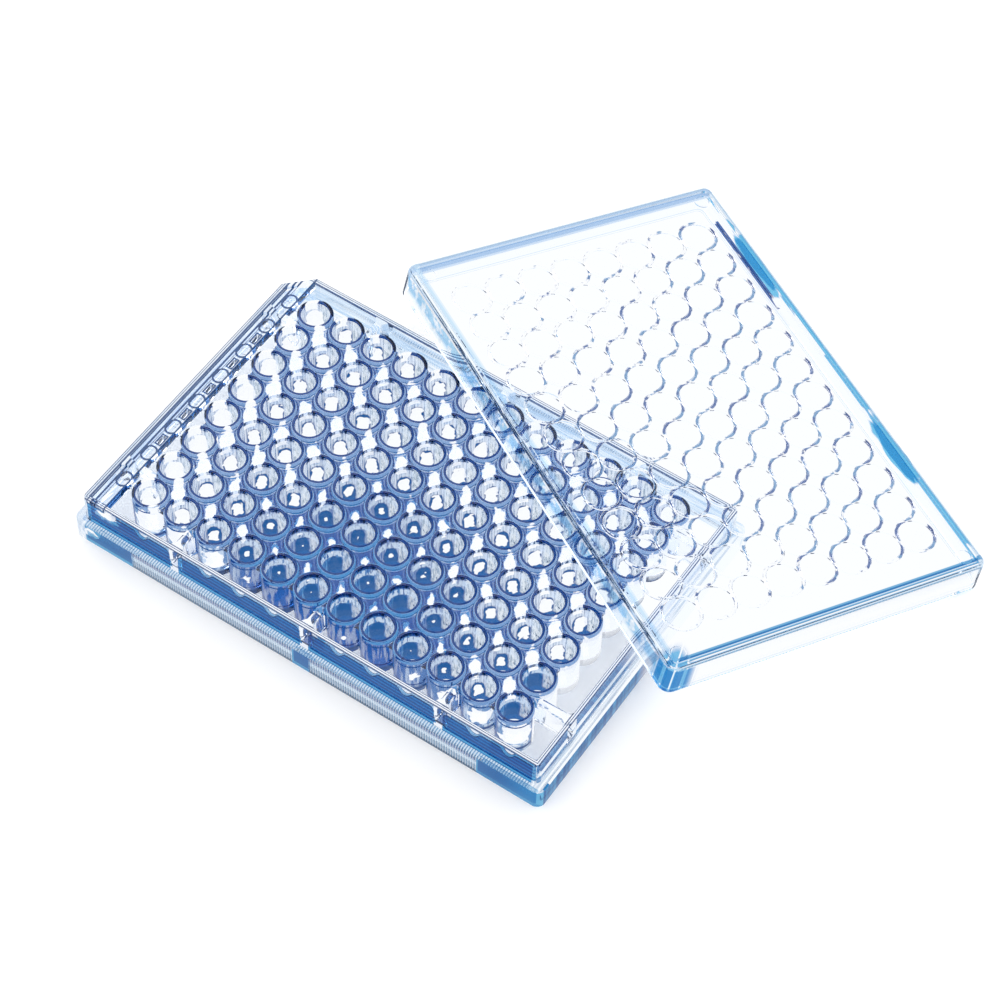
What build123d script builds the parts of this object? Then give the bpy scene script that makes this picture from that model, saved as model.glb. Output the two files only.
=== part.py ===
"""A 96-well plate for the biology bench, with its loose lid leaning across one end.

Millimetres. The origin is the middle of the plate's footprint, on the table.
X runs along the rows of wells from column 1 to the last column, Y from the last
row to row A, and Z is up.
"""

import os
from math import asin, cos, degrees, pi, radians, sin, sqrt, tan

from build123d import *

# The grid of wells
columns = 12
rows = 8
well_spacing = 9.0  # from one well's middle to the next, both ways

# The plate's footprint and heights
end_margin = 14.38  # from the middle of column 1 to the plate's end
side_margin = 11.24  # from the middle of row A to the plate's side
plate_height = 14.35  # from the table to the rims of the wells
flange_height = 6.1  # the wide foot that carriers and grippers hold
flange_thickness = 1.3
flange_corner = 2.0
flange_inner_corner = 1.0
wall_top = 13.6
wall_thickness = 1.3  # at the top
wall_corner = 1.4
wall_inner_corner = 0.6
wall_ledge_x = 1.8  # the wall's foot stands this far inside the flange at each end
wall_ledge_y = 1.6  # and this far inside along each side
wall_draft = 1.5  # degrees, on the outer face
corner_cut = 6.0  # the cut corner beside well A1, on the wall

# The wells
well_top_diameter = 6.96
well_bottom_diameter = 6.4
well_depth = 10.67
well_floor = 1.2
tube_diameter = 8.7
well_sides = 12  # flats round each well and tube, to keep the array light
web_width = 4.6  # of the webs that join neighbouring tubes
deck_thickness = 1.4

# The ribs that bridge the moat between the wall and the wells
rib_width = 2.0
rib_depth = 7.2
rib_flare = 0.8  # how much wider each rib grows, to each side, where it meets the wall
rib_flare_run = 1.2
rib_bite = 0.5  # how far a rib runs into the wall and into the wells' webs
long_side_ribs = 3
long_rib_columns = 4  # columns from one rib to the next
short_side_ribs = 2
short_rib_rows = 6  # rows from one rib to the next

# The shelf beside column 1, with the raised bar where the row letters stand
shelf_width = 5.0
shelf_drop = 0.9  # from the top of the wall
shelf_thickness = 1.2
bar_width = 2.7
tab_length = 4.4
tab_width = 3.4
tab_inset = 1.5  # from the shelf's free edge to the middle of a tab
slot_length = 2.6
slot_width = 1.0
stay_width = 0.8  # of the stay from each tab to the tube beside it

# The lid
lid_fit_gap = 0.3  # all round, between the foot of the plate's wall and the lid
lid_foot_rise = 2.5  # from the flange's ledge up to the foot of the closed lid
lid_head_gap = 0.65  # between the rims and the closed lid
lid_thickness = 1.2
lid_draft = 1.5  # degrees
lid_corner = 2.6
lid_inner_corner = 1.4
bead_width = 1.1
bead_height = 0.6
bead_inset = 0.5  # from the edge of the top
bead_corner = 2.0
bead_inner_corner = 1.2

# Where the open lid leans
lid_turn = -28.1  # degrees, from the plate's long side to the lid's
lid_reach_x = 45.6  # from the plate's end back to the middle of the leaning edge
lid_reach_y = 23.7  # from the plate's side back to the middle of the leaning edge
lid_rest_gap = 0.05

# Sizes that follow
column_span = (columns - 1) * well_spacing
row_span = (rows - 1) * well_spacing
plate_length = column_span + 2 * end_margin
plate_width = row_span + 2 * side_margin
wall_length = plate_length - 2 * wall_ledge_x
wall_width = plate_width - 2 * wall_ledge_y
wall_lean = (wall_top - flange_height) * tan(radians(wall_draft))
moat_inset = wall_lean + wall_thickness  # from the wall's foot to its inner face
moat_length = wall_length - 2 * moat_inset
moat_width = wall_width - 2 * moat_inset
tube_foot = plate_height - well_depth - well_floor
web_end = (column_span + web_width) / 2
web_side = (row_span + web_width) / 2
shelf_edge = shelf_width - moat_length / 2

lid_length = wall_length + 2 * (lid_fit_gap + lid_thickness)
lid_width = wall_width + 2 * (lid_fit_gap + lid_thickness)
lid_height = plate_height - flange_height - lid_foot_rise + lid_head_gap + lid_thickness


def slab(face, bottom, top, draft=0.0):
    """A solid on a flat outline, from one height to another."""
    return Pos(0, 0, bottom) * extrude(face, amount=top - bottom, taper=draft)


def cut_outline(length, width, radius, cut):
    """A rectangle with the A1 corner cut off and the other three rounded."""
    outline = Rectangle(length, width)
    a1 = outline.vertices().sort_by(Axis.Y)[-2:].sort_by(Axis.X)[0]
    outline = chamfer(a1, cut)
    others = [v for v in outline.vertices() if v.X > 0 or v.Y < 0]
    return fillet(others, radius)


def moat_outline():
    """The inner outline of the wall, a wall's thickness inside its top."""
    cut = corner_cut - moat_inset * (2 - sqrt(2))
    return cut_outline(moat_length, moat_width, wall_inner_corner, cut)


def well_places():
    return GridLocations(well_spacing, well_spacing, columns, rows)


def near_circle(diameter):
    """A regular polygon that has the area of a circle, with corners on both axes."""
    swell = sqrt(2 * pi / (well_sides * sin(2 * pi / well_sides)))
    return RegularPolygon(diameter / 2 * swell, well_sides)


def make_walls():
    """The flange, the ledge on it and the wall above, open from top to foot."""
    flange = slab(RectangleRounded(plate_length, plate_width, flange_corner), 0, flange_height)
    wall_face = cut_outline(wall_length, wall_width, wall_corner, corner_cut)
    wall = slab(wall_face, flange_height, wall_top, wall_draft)
    foot_face = RectangleRounded(
        plate_length - 2 * flange_thickness,
        plate_width - 2 * flange_thickness,
        flange_inner_corner,
    )
    foot_hollow = slab(foot_face, 0, flange_height - flange_thickness)
    return flange + wall - foot_hollow - slab(moat_outline(), 0, wall_top)


def make_pocket():
    """The hollow between four tubes, open at the foot and closed by the deck."""
    face = Rectangle(well_spacing, well_spacing)
    face -= GridLocations(well_spacing, well_spacing, 2, 2) * near_circle(tube_diameter)
    face -= GridLocations(well_spacing, well_spacing, 1, 2) * Rectangle(well_spacing, web_width)
    face -= GridLocations(well_spacing, well_spacing, 2, 1) * Rectangle(web_width, well_spacing)
    return slab(face, tube_foot, plate_height - deck_thickness)


def make_block():
    """The tubes, the webs that join them and the deck over the hollows between."""
    outline = Rectangle(column_span, 2 * web_side) + Rectangle(2 * web_end, row_span)
    outline += well_places() * near_circle(tube_diameter)
    block = slab(outline, tube_foot, plate_height)
    return block - GridLocations(well_spacing, well_spacing, columns - 1, rows - 1) * make_pocket()


def make_wells():
    """The tapered wells, as solids to cut."""
    mouth = Pos(0, 0, plate_height) * near_circle(well_top_diameter)
    bottom = Pos(0, 0, plate_height - well_depth) * near_circle(well_bottom_diameter)
    well = ConvexPolyhedron(tuple(v) for v in mouth.vertices() + bottom.vertices())
    return [place * well for place in well_places()]


def make_rib(reach):
    """One rib along X, from its bite in a web to its flared bite in the wall."""
    half = rib_width / 2
    wide = half + rib_flare
    outline = Polyline(
        (-rib_bite, -half),
        (reach - rib_flare_run, -half),
        (reach, -wide),
        (reach + rib_bite, -wide),
        (reach + rib_bite, wide),
        (reach, wide),
        (reach - rib_flare_run, half),
        (-rib_bite, half),
        close=True,
    )
    return slab(make_face(outline), wall_top - rib_depth, wall_top)


def make_ribs():
    """The ribs that cross the moat, on all four sides."""
    long_rib = Pos(web_side, 0, 0) * make_rib(moat_width / 2 - web_side)
    long_places = GridLocations(0, long_rib_columns * well_spacing, 1, long_side_ribs)
    short_rib = Pos(web_end, 0, 0) * make_rib(moat_length / 2 - web_end)
    short_places = GridLocations(0, short_rib_rows * well_spacing, 1, short_side_ribs)
    ribs = [Rot(0, 0, turn) * place * long_rib for turn in (90, -90) for place in long_places]
    ribs += [Rot(0, 0, turn) * place * short_rib for turn in (0, 180) for place in short_places]
    return ribs


def make_shelf():
    """The shelf beside column 1, its raised bar with a tab for each row, and the stays."""
    moat = moat_outline()
    top = wall_top - shelf_drop
    foot = top - shelf_thickness
    shelf_face = moat & Pos(shelf_edge - shelf_width / 2, 0) * Rectangle(shelf_width, moat_width)
    bar_face = moat & Pos(shelf_edge - bar_width / 2, 0) * Rectangle(bar_width, moat_width)
    row_places = Pos(shelf_edge - tab_inset, 0) * GridLocations(0, well_spacing, 1, rows)
    bar_face += row_places * SlotOverall(tab_length, tab_width, rotation=90)
    slot_places = Pos(shelf_edge - bar_width / 2, 0) * GridLocations(0, well_spacing, 1, short_rib_rows - 1)
    slots = slot_places * Rectangle(slot_width, slot_length)
    stay_length = tab_inset - shelf_edge - (column_span + tube_diameter) / 2 + rib_bite
    stay = Rectangle(stay_length, stay_width, align=(Align.MIN, Align.CENTER))
    bar_face += row_places * stay
    return slab(shelf_face - slots, foot, top) + slab(bar_face - slots, foot, wall_top)


def make_plate():
    """The plate, one moulding."""
    plate = make_walls() + make_block() + make_shelf() + make_ribs()
    return plate - make_wells()


def make_lid():
    """The lid, standing on its own footprint: a drafted tray with a bead round its top."""
    shell_face = RectangleRounded(lid_length, lid_width, lid_corner)
    hollow_face = RectangleRounded(
        lid_length - 2 * lid_thickness, lid_width - 2 * lid_thickness, lid_inner_corner
    )
    shell = slab(shell_face, 0, lid_height, lid_draft)
    hollow = slab(hollow_face, 0, lid_height - lid_thickness, lid_draft)
    inset = lid_height * tan(radians(lid_draft)) + bead_inset
    bead_length = lid_length - 2 * inset
    bead_span = lid_width - 2 * inset
    bead_face = RectangleRounded(bead_length, bead_span, bead_corner)
    bead_face -= RectangleRounded(
        bead_length - 2 * bead_width, bead_span - 2 * bead_width, bead_inner_corner
    )
    return shell - hollow + slab(bead_face, lid_height, lid_height + bead_height)


def lean(lid):
    """One long foot edge of the lid on the rims of the wells, the other on the table."""
    tilt = asin((plate_height + lid_rest_gap) / (lid_width - lid_thickness))
    edge_place = Pos(plate_length / 2 - lid_reach_x, plate_width / 2 - lid_reach_y, 0)
    table_edge = Pos(0, lid_width * cos(tilt), 0)
    tilted = Rot(-degrees(tilt), 0, 0) * Pos(0, -lid_width / 2, 0) * lid
    return edge_place * Rot(0, 0, lid_turn) * table_edge * tilted


os.makedirs("parts", exist_ok=True)
export_step(make_plate(), "parts/plate.step")
export_step(lean(make_lid()), "parts/lid.step")
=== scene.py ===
"""Looks of a clear 96-well plate and of its lid, which leans across one end."""

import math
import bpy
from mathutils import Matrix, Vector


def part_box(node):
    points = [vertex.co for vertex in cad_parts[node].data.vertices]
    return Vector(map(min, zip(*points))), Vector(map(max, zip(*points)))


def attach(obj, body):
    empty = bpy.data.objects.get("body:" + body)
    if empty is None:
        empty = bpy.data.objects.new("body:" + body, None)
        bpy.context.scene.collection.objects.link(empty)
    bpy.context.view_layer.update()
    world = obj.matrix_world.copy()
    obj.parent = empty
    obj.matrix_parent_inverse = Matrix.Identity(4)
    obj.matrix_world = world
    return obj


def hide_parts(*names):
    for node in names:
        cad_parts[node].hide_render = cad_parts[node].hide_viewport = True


bl_info = {
    "name": "Well plate with its lid",
    "version": (1, 0, 0),
    "blender": (4, 5, 0),
    "location": "View3D > Sidebar > Well plate",
    "description": "Models a clear well plate and its lid round the fixed construction",
    "category": "Add Mesh",
}

import bpy
from bpy.props import FloatProperty, FloatVectorProperty, IntProperty, PointerProperty
from mathutils import Matrix, Vector

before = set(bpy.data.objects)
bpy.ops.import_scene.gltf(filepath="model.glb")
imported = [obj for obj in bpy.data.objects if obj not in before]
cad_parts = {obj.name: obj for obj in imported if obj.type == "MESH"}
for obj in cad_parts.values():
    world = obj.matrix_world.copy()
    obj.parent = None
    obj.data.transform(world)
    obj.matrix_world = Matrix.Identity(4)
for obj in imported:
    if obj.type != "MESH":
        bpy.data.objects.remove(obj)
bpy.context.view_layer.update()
PLATE_LOW, PLATE_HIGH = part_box("plate")
MM = 0.001
ROW_LETTERS = "ABCDEFGH"

# Two places nearer to each other than this count as one.
SAME = 0.01 * MM
# How far a solid that cuts another reaches past it.
PAST = 1.0 * MM
# How much a corner cut at 45 degrees grows when both its walls move out by one.
CUT_GROWTH = 2 - math.sqrt(2)
# Heights in millimetres over and under the whole of a piece.
ABOVE, BELOW = 20.0, -1.0
# The direction over the table that the camera sees as rightwards.
RIGHT_ALONG, RIGHT_ACROSS = 0.84, 0.54
# The turn about a well, in radians, of its side away from the camera.
FAR_TURN = 2.14
SHEER = (0.985, 0.99, 0.996)
WHITE = (1.0, 1.0, 1.0)


def length(name, description, default_mm):
    """A length property, given in millimetres and kept in metres."""
    return FloatProperty(
        name=name, description=description, default=default_mm * MM, min=0.0, precision=5,
        subtype="DISTANCE", unit="LENGTH",
    )


def angle(name, description, default_degrees):
    """An angle property, given in degrees and kept in radians."""
    return FloatProperty(
        name=name, description=description, default=math.radians(default_degrees),
        subtype="ANGLE", unit="ROTATION",
    )


def tint(name, description, default):
    """A colour property."""
    return FloatVectorProperty(
        name=name, description=description, default=default, size=3, min=0.0, max=1.0,
        subtype="COLOR",
    )


# Sizes


class WellSizes(bpy.types.PropertyGroup):
    """Sizes of the wells and of the block that holds them."""

    columns: IntProperty(name="Columns", description="Wells along a row", default=12, min=2)
    rows: IntProperty(name="Rows", description="Wells along a column", default=8, min=2)
    spacing: length("Spacing", "From one well's middle to the next", 9.0)
    mouth_radius: length("Mouth radius", "Outer edge of the sloped mouth", 3.52)
    mouth_slope: length("Mouth slope", "Height of the sloped mouth", 0.15)
    top_radius: length("Top radius", "Of the well, below its mouth", 3.45)
    bottom_radius: length("Bottom radius", "Of the well, at its floor", 3.2)
    depth: length("Depth", "From the rim to the well's floor", 10.67)
    floor: length("Floor", "Thickness under the well", 1.2)
    tube_radius: length("Tube radius", "Outside of the wall round a well", 4.35)
    rim_rise: length("Rim rise", "From the deck up to the rim", 0.75)
    deck: length("Deck", "Thickness of the deck between the rims", 1.2)
    web: length("Web", "Width of the webs that join the tubes", 1.4)
    deck_edge: length("Deck edge", "From the outer wells' middles to the edge of the deck", 2.3)


class SkirtSizes(bpy.types.PropertyGroup):
    """Sizes of the wall and of the wide foot under it."""

    flange_height: length("Flange height", "Height of the wide foot", 6.1)
    flange: length("Flange", "Thickness of the foot", 1.3)
    flange_corner: length("Flange corner", "Radius of the foot's corners", 2.0)
    wall_drop: length("Wall drop", "From the rims down to the top of the wall", 0.75)
    wall: length("Wall", "Thickness at the top", 1.3)
    wall_corner: length("Wall corner", "Radius of the wall's corners", 1.4)
    ledge_x: length("End ledge", "From the foot's face in to the wall, at each end", 1.8)
    ledge_y: length("Side ledge", "From the foot's face in to the wall, along each side", 1.6)
    draft: angle("Draft", "Lean of the wall's outer face", 1.5)
    cut: length("Cut corner", "The cut corner beside well A1", 6.0)
    grip_pitch: length("Grip pitch", "From one grip ridge to the next", 0.66)
    grip_depth: length("Grip depth", "Depth of the grooves between the grip ridges", 0.22)
    grip_near: length("Grip start", "From the middle of a side to the first ridge", 2.3)
    grip_far: length("Grip end", "From the middle of a side to the last ridge", 47.2)


class BridgeSizes(bpy.types.PropertyGroup):
    """Sizes of the ribs across the moat and of the shelf beside column 1."""

    rib: length("Rib", "Width of each rib", 2.0)
    rib_depth: length("Rib depth", "Height of each rib", 7.2)
    flare: length("Flare", "How much wider a rib grows, to each side, at the wall", 0.8)
    flare_run: length("Flare run", "Length of the flare", 1.2)
    bite: length("Bite", "How far a rib runs into what it joins", 0.4)
    shelf: length("Shelf", "Width of the shelf", 5.0)
    shelf_drop: length("Shelf drop", "From the top of the wall down to the shelf", 0.9)
    shelf_thickness: length("Shelf thickness", "Thickness of the shelf", 1.2)
    bar: length("Bar", "Width of the raised bar at the shelf's edge", 2.7)
    tab_length: length("Tab length", "Of the rounded tab under a row letter", 4.4)
    tab_width: length("Tab width", "Of the rounded tab under a row letter", 3.4)
    tab_inset: length("Tab inset", "From the shelf's edge to the middle of a tab", 1.5)
    slot_length: length("Slot length", "Of the slot between two tabs", 2.6)
    slot_width: length("Slot width", "Of the slot between two tabs", 1.0)
    letter: length("Letter", "Height of a row letter", 2.3)
    letter_rise: length("Letter rise", "How far a letter stands up", 0.14)


class LidSizes(bpy.types.PropertyGroup):
    """Sizes of the lid and how it leans."""

    fit_gap: length("Fit gap", "Between the foot of the plate's wall and the lid", 0.3)
    foot_rise: length("Foot rise", "From the ledge up to the foot of the closed lid", 2.5)
    head_gap: length("Head gap", "Between the rims and the closed lid", 0.65)
    thickness: length("Thickness", "Of the lid's wall and top", 1.2)
    corner: length("Corner", "Radius of the lid's corners", 2.6)
    draft: angle("Draft", "Lean of the lid's wall", 1.5)
    bead: length("Bead", "Width of the raised bead round the top", 1.1)
    bead_rise: length("Bead rise", "Height of the bead", 0.6)
    bead_inset: length("Bead inset", "From the top's edge to the bead", 0.5)
    ring_radius: length("Ring radius", "Of the ring over each well", 4.5)
    ring_bead: length("Ring bead", "Radius of the bead that forms each ring", 0.42)
    turn: angle("Turn", "From the plate's long side to the lid's", -28.1)
    reach_x: length("Reach along", "From the plate's end back to the leaning edge", 45.6)
    reach_y: length("Reach across", "From the plate's side back to the leaning edge", 23.7)
    rest_gap: length("Rest gap", "Left between the lid and the rims", 0.05)


class Colours(bpy.types.PropertyGroup):
    """Colours of the clear plastic, by zone. Clear is the plastic's own; ring, skirt, lid edge and
    lid line are painted refracted light and shade.
    """

    clear: tint("Clear", "Thin clear plastic", (0.93, 0.96, 1.0))
    ring: tint("Ring", "Mouths of the wells", (0.0, 0.002, 0.05))
    skirt: tint("Skirt", "Wall and foot along the sides", (0.006, 0.115, 0.35))
    lid_edge: tint("Lid edge", "Edge of the lid's wall", (0.03, 0.30, 0.62))
    lid_line: tint("Lid line", "Rings on the lid", (0.02, 0.04, 0.16))


class StageSizes(bpy.types.PropertyGroup):
    """Camera, floor and lamps."""

    azimuth: angle("Azimuth", "Direction that the camera looks in, from +Y towards -X", 32.42)
    elevation: angle("Elevation", "How far the camera looks down", 54.54)
    roll: angle("Roll", "Turn of the camera about its own line of sight", 2.04)
    distance: length("Distance", "From the camera to its target", 714.4)
    target: FloatVectorProperty(
        name="Target", description="Point that the camera looks at",
        default=(13.437 * MM, 16.299 * MM, 7.0 * MM), size=3, subtype="TRANSLATION", unit="LENGTH",
    )
    lens: FloatProperty(
        name="Lens", description="Focal length in millimetres", default=112.51, min=1.0
    )
    floor_size: FloatProperty(
        name="Floor", description="Side of the floor", default=6.0, unit="LENGTH"
    )


# Modelling tools


def select_only(piece):
    """Leaves one object selected and active, in object mode."""
    for other in bpy.context.selected_objects:
        other.select_set(False)
    piece.select_set(True)
    bpy.context.view_layer.objects.active = piece


def named(name):
    """Names the primitive that was just added, and leaves it alone in the selection."""
    piece = bpy.context.object
    piece.name = name
    piece.data.name = name
    select_only(piece)
    return piece


def settle(piece):
    """Moves a piece's place, turn and scale into its mesh."""
    select_only(piece)
    bpy.ops.object.transform_apply(location=True, rotation=True, scale=True)


def add_box(name, low, high):
    """A box between two corners."""
    low, high = Vector(low), Vector(high)
    bpy.ops.mesh.primitive_cube_add(size=1.0, location=(low + high) / 2)
    piece = named(name)
    piece.scale = high - low
    settle(piece)
    return piece


def add_post(name, radius, low, high, place=(0.0, 0.0), sides=64, top_radius=None):
    """An upright round post, straight or tapered."""
    bpy.ops.mesh.primitive_cone_add(
        vertices=sides, radius1=radius, radius2=top_radius or radius, depth=high - low,
        location=(place[0], place[1], (low + high) / 2),
    )
    piece = named(name)
    settle(piece)
    return piece


def add_ring(name, radius, bead, place, sides):
    """A round bead, bent into a ring that lies flat."""
    bpy.ops.mesh.primitive_torus_add(
        major_radius=radius, minor_radius=bead, major_segments=sides, minor_segments=8,
        location=place,
    )
    ring = named(name)
    settle(ring)
    return ring


def edit_all(piece):
    """Enters edit mode with everything selected."""
    select_only(piece)
    bpy.ops.object.mode_set(mode="EDIT")
    bpy.ops.mesh.select_all(action="SELECT")


def clear_selection(piece, kind):
    """Sets the kind of element that edit mode selects, and leaves none selected."""
    select_only(piece)
    bpy.ops.object.mode_set(mode="EDIT")
    bpy.ops.mesh.select_mode(type=kind)
    bpy.ops.mesh.select_all(action="DESELECT")
    done_editing()


def edit_faces(piece, wanted):
    """Enters edit mode with the faces for which wanted(face) holds selected."""
    clear_selection(piece, "FACE")
    for face in piece.data.polygons:
        face.select = wanted(face)
    bpy.ops.object.mode_set(mode="EDIT")


def edit_edges(piece, wanted):
    """Enters edit mode with the edges for which wanted(start, end) holds selected."""
    clear_selection(piece, "EDGE")
    points = piece.data.vertices
    for edge in piece.data.edges:
        start, end = (points[i].co for i in edge.vertices)
        edge.select = wanted(start, end)
    bpy.ops.object.mode_set(mode="EDIT")


def done_editing():
    bpy.ops.object.mode_set(mode="OBJECT")


def faces_up(face):
    return face.normal.z > 0.99


def upright(start, end):
    return (start.xy - end.xy).length < SAME


def round_edges(piece, wanted, radius, segments):
    edit_edges(piece, wanted)
    bpy.ops.mesh.bevel(offset=radius, segments=segments, affect="EDGES")
    done_editing()


def round_upright_edges(piece, radius, segments=6):
    round_edges(piece, upright, radius, segments)


def round_top_edges(piece, level, radius, segments=2):
    """Rounds the edges of a solid's top face, which lies at a level."""
    round_edges(piece, lambda start, end: min(start.z, end.z) > level - SAME, radius, segments)


def scale_selected(scale_x, scale_y, middle=(0.0, 0.0, 0.0)):
    bpy.ops.transform.resize(value=(scale_x, scale_y, 1.0), center_override=middle)


def draw_out(x, z):
    """Draws the selected faces out along X and Z."""
    bpy.ops.mesh.extrude_region_move(TRANSFORM_OT_translate={"value": (x, 0.0, z)})


def scale_top(piece, scale_x, scale_y):
    """Scales a solid's top face about the vertical axis through the origin."""
    edit_faces(piece, faces_up)
    scale_selected(scale_x, scale_y)
    done_editing()


def modify(piece, kind, **settings):
    """Adds a modifier and applies it."""
    modifier = piece.modifiers.new(kind, kind)
    for key, value in settings.items():
        setattr(modifier, key, value)
    select_only(piece)
    bpy.ops.object.modifier_apply(modifier=modifier.name)


def repeat(piece, count, step):
    """Copies a piece along a step, all in one mesh."""
    modify(
        piece, "ARRAY", count=count, use_relative_offset=False, use_constant_offset=True,
        constant_offset_displace=step,
    )


def combine(piece, tool, operation):
    """Adds or takes away a second solid, which is used up."""
    modify(piece, "BOOLEAN", object=tool, operation=operation, solver="MANIFOLD")
    bpy.data.objects.remove(tool)


def join_solid(piece, tool):
    combine(piece, tool, "UNION")


def cut_solid(piece, tool):
    combine(piece, tool, "DIFFERENCE")


def soften(piece, width, degrees=50.0, segments=2):
    """Rounds a piece's sharp edges."""
    modify(
        piece, "BEVEL", width=width, segments=segments, limit_method="ANGLE",
        angle_limit=math.radians(degrees), use_clamp_overlap=True,
    )


def smooth(piece, degrees=32.0):
    select_only(piece)
    bpy.ops.object.shade_smooth_by_angle(angle=math.radians(degrees))


def grid_corner(wells):
    """The middle of the well at the lowest X and Y."""
    return (
        -(wells.columns - 1) * wells.spacing / 2,
        -(wells.rows - 1) * wells.spacing / 2,
    )


def over_grid(piece, wells):
    """Repeats what stands at the lowest well over the whole grid."""
    repeat(piece, wells.columns, (wells.spacing, 0.0, 0.0))
    repeat(piece, wells.rows, (0.0, wells.spacing, 0.0))


# The plate


def tube_foot(wells):
    return PLATE_HIGH.z - wells.depth - wells.floor


def make_tubes(wells):
    """The round walls of the wells, each with a softened rim."""
    x, y = grid_corner(wells)
    tubes = add_post("tubes", wells.tube_radius, tube_foot(wells), PLATE_HIGH.z, (x, y), sides=48)
    round_top_edges(tubes, PLATE_HIGH.z, 0.2 * MM)
    over_grid(tubes, wells)
    return tubes


def make_webs(wells, deck_top):
    """The webs that join the tubes along the rows and along the columns, and the deck."""
    x, y = grid_corner(wells)
    half = wells.web / 2
    foot = tube_foot(wells) + 0.4 * MM
    rows = add_box("webs", (x, y - half, foot), (-x, y + half, deck_top - wells.deck / 2))
    repeat(rows, wells.rows, (0.0, wells.spacing, 0.0))
    lines = add_box("webs", (x - half, y, foot), (x + half, -y, deck_top - wells.deck / 2))
    repeat(lines, wells.columns, (wells.spacing, 0.0, 0.0))
    edge = wells.deck_edge
    deck = add_box(
        "deck", (x - edge, y - edge, deck_top - wells.deck), (edge - x, edge - y, deck_top)
    )
    join_solid(rows, lines)
    join_solid(rows, deck)
    return rows


def make_cavities(wells):
    """The insides of the wells, each with a sloped mouth and a softened floor."""
    x, y = grid_corner(wells)
    low = PLATE_HIGH.z - wells.depth
    slope = PLATE_HIGH.z - wells.mouth_slope
    wells_cut = add_post(
        "cavities", wells.bottom_radius, low, slope, (x, y), sides=56, top_radius=wells.top_radius
    )
    round_edges(wells_cut, lambda start, end: max(start.z, end.z) < low + SAME, 0.45 * MM, 3)
    edit_faces(wells_cut, faces_up)
    draw_out(0.0, wells.mouth_slope)
    wider = wells.mouth_radius / wells.top_radius
    scale_selected(wider, wider, (x, y, PLATE_HIGH.z))
    draw_out(0.0, PAST)
    done_editing()
    over_grid(wells_cut, wells)
    return wells_cut


def cut_a1_corner(piece, half_x, half_y, cut):
    """Cuts a solid's corner beside well A1 off with an upright plane at 45 degrees."""
    edit_all(piece)
    bpy.ops.mesh.bisect(
        plane_co=(-half_x + cut, half_y, 0.0), plane_no=(-1.0, 1.0, 0.0), use_fill=True,
        clear_outer=True,
    )
    done_editing()


def make_grip_grooves(skirt):
    """Narrow upright grooves along both long sides, which leave the grip ridges between them."""
    half_y = PLATE_HIGH.y
    width = skirt.grip_pitch * 0.5
    count = int((skirt.grip_far - skirt.grip_near) / skirt.grip_pitch)
    low, high = 0.5 * MM, skirt.flange_height - 0.5 * MM
    groups = []
    for side in (-1, 1):
        for start in (-skirt.grip_far, skirt.grip_near):
            near, far = sorted((side * (half_y - skirt.grip_depth), side * (half_y + PAST)))
            groove = add_box("grooves", (start, near, low), (start + width, far, high))
            repeat(groove, count, (skirt.grip_pitch, 0.0, 0.0))
            groups.append(groove)
    return groups


def make_skirt(skirt):
    """The wide foot, the ledge on it and the wall above, open from top to foot."""
    half_x, half_y = PLATE_HIGH.x, PLATE_HIGH.y
    wall_top = PLATE_HIGH.z - skirt.wall_drop
    foot = add_box("plate_moulding", PLATE_LOW, (half_x, half_y, skirt.flange_height))
    round_upright_edges(foot, skirt.flange_corner)
    round_top_edges(foot, skirt.flange_height, 0.3 * MM)
    for groove in make_grip_grooves(skirt):
        cut_solid(foot, groove)

    wall_x, wall_y = half_x - skirt.ledge_x, half_y - skirt.ledge_y
    lean = (wall_top - skirt.flange_height) * math.tan(skirt.draft)
    wall = add_box(
        "wall", (-wall_x, -wall_y, skirt.flange_height - 0.5 * MM), (wall_x, wall_y, wall_top)
    )
    round_upright_edges(wall, skirt.wall_corner)
    cut_a1_corner(wall, wall_x, wall_y, skirt.cut)
    scale_top(wall, 1 - lean / wall_x, 1 - lean / wall_y)
    round_top_edges(wall, wall_top, 0.3 * MM)
    join_solid(foot, wall)

    inner_x, inner_y = half_x - skirt.flange, half_y - skirt.flange
    hollow = add_box(
        "hollow", (-inner_x, -inner_y, -PAST),
        (inner_x, inner_y, skirt.flange_height - skirt.flange),
    )
    round_upright_edges(hollow, skirt.flange_corner / 2)
    cut_solid(foot, hollow)
    cut_solid(foot, make_moat(skirt, wall_top))
    return foot


def moat_half(skirt):
    """Half the length and half the width inside the wall."""
    lean = (PLATE_HIGH.z - skirt.wall_drop - skirt.flange_height) * math.tan(skirt.draft)
    inset = lean + skirt.wall
    return (
        PLATE_HIGH.x - skirt.ledge_x - inset, PLATE_HIGH.y - skirt.ledge_y - inset,
        skirt.cut - inset * CUT_GROWTH,
    )


def make_moat(skirt, wall_top):
    """All that is open inside the wall, with a small slope at the wall's top edge."""
    moat_x, moat_y, cut = moat_half(skirt)
    moat = add_box("moat", (-moat_x, -moat_y, -PAST), (moat_x, moat_y, wall_top - 0.25 * MM))
    round_upright_edges(moat, 0.6 * MM)
    cut_a1_corner(moat, moat_x, moat_y, cut)
    edit_faces(moat, faces_up)
    draw_out(0.0, PAST)
    scale_selected(1 + PAST / moat_x, 1 + PAST / moat_y)
    done_editing()
    return moat


def make_rib(bridge, start, reach, turn, place, wall_top):
    """One rib from a web to the wall, along X and then turned about the upright axis."""
    half = bridge.rib / 2
    low = wall_top - bridge.rib_depth
    rib = add_box(
        "rib", (start - bridge.bite, -half, low), (reach - bridge.flare_run, half, wall_top)
    )
    edit_faces(rib, lambda face: face.normal.x > 0.99)
    draw_out(bridge.flare_run, 0.0)
    scale_selected(1.0, 1 + bridge.flare / half)
    draw_out(bridge.bite, 0.0)
    done_editing()
    soften(rib, 0.25 * MM, 40.0)
    rib.matrix_world = Matrix.Rotation(turn, 4, "Z") @ Matrix.Translation((0.0, place, 0.0))
    settle(rib)
    return rib


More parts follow.
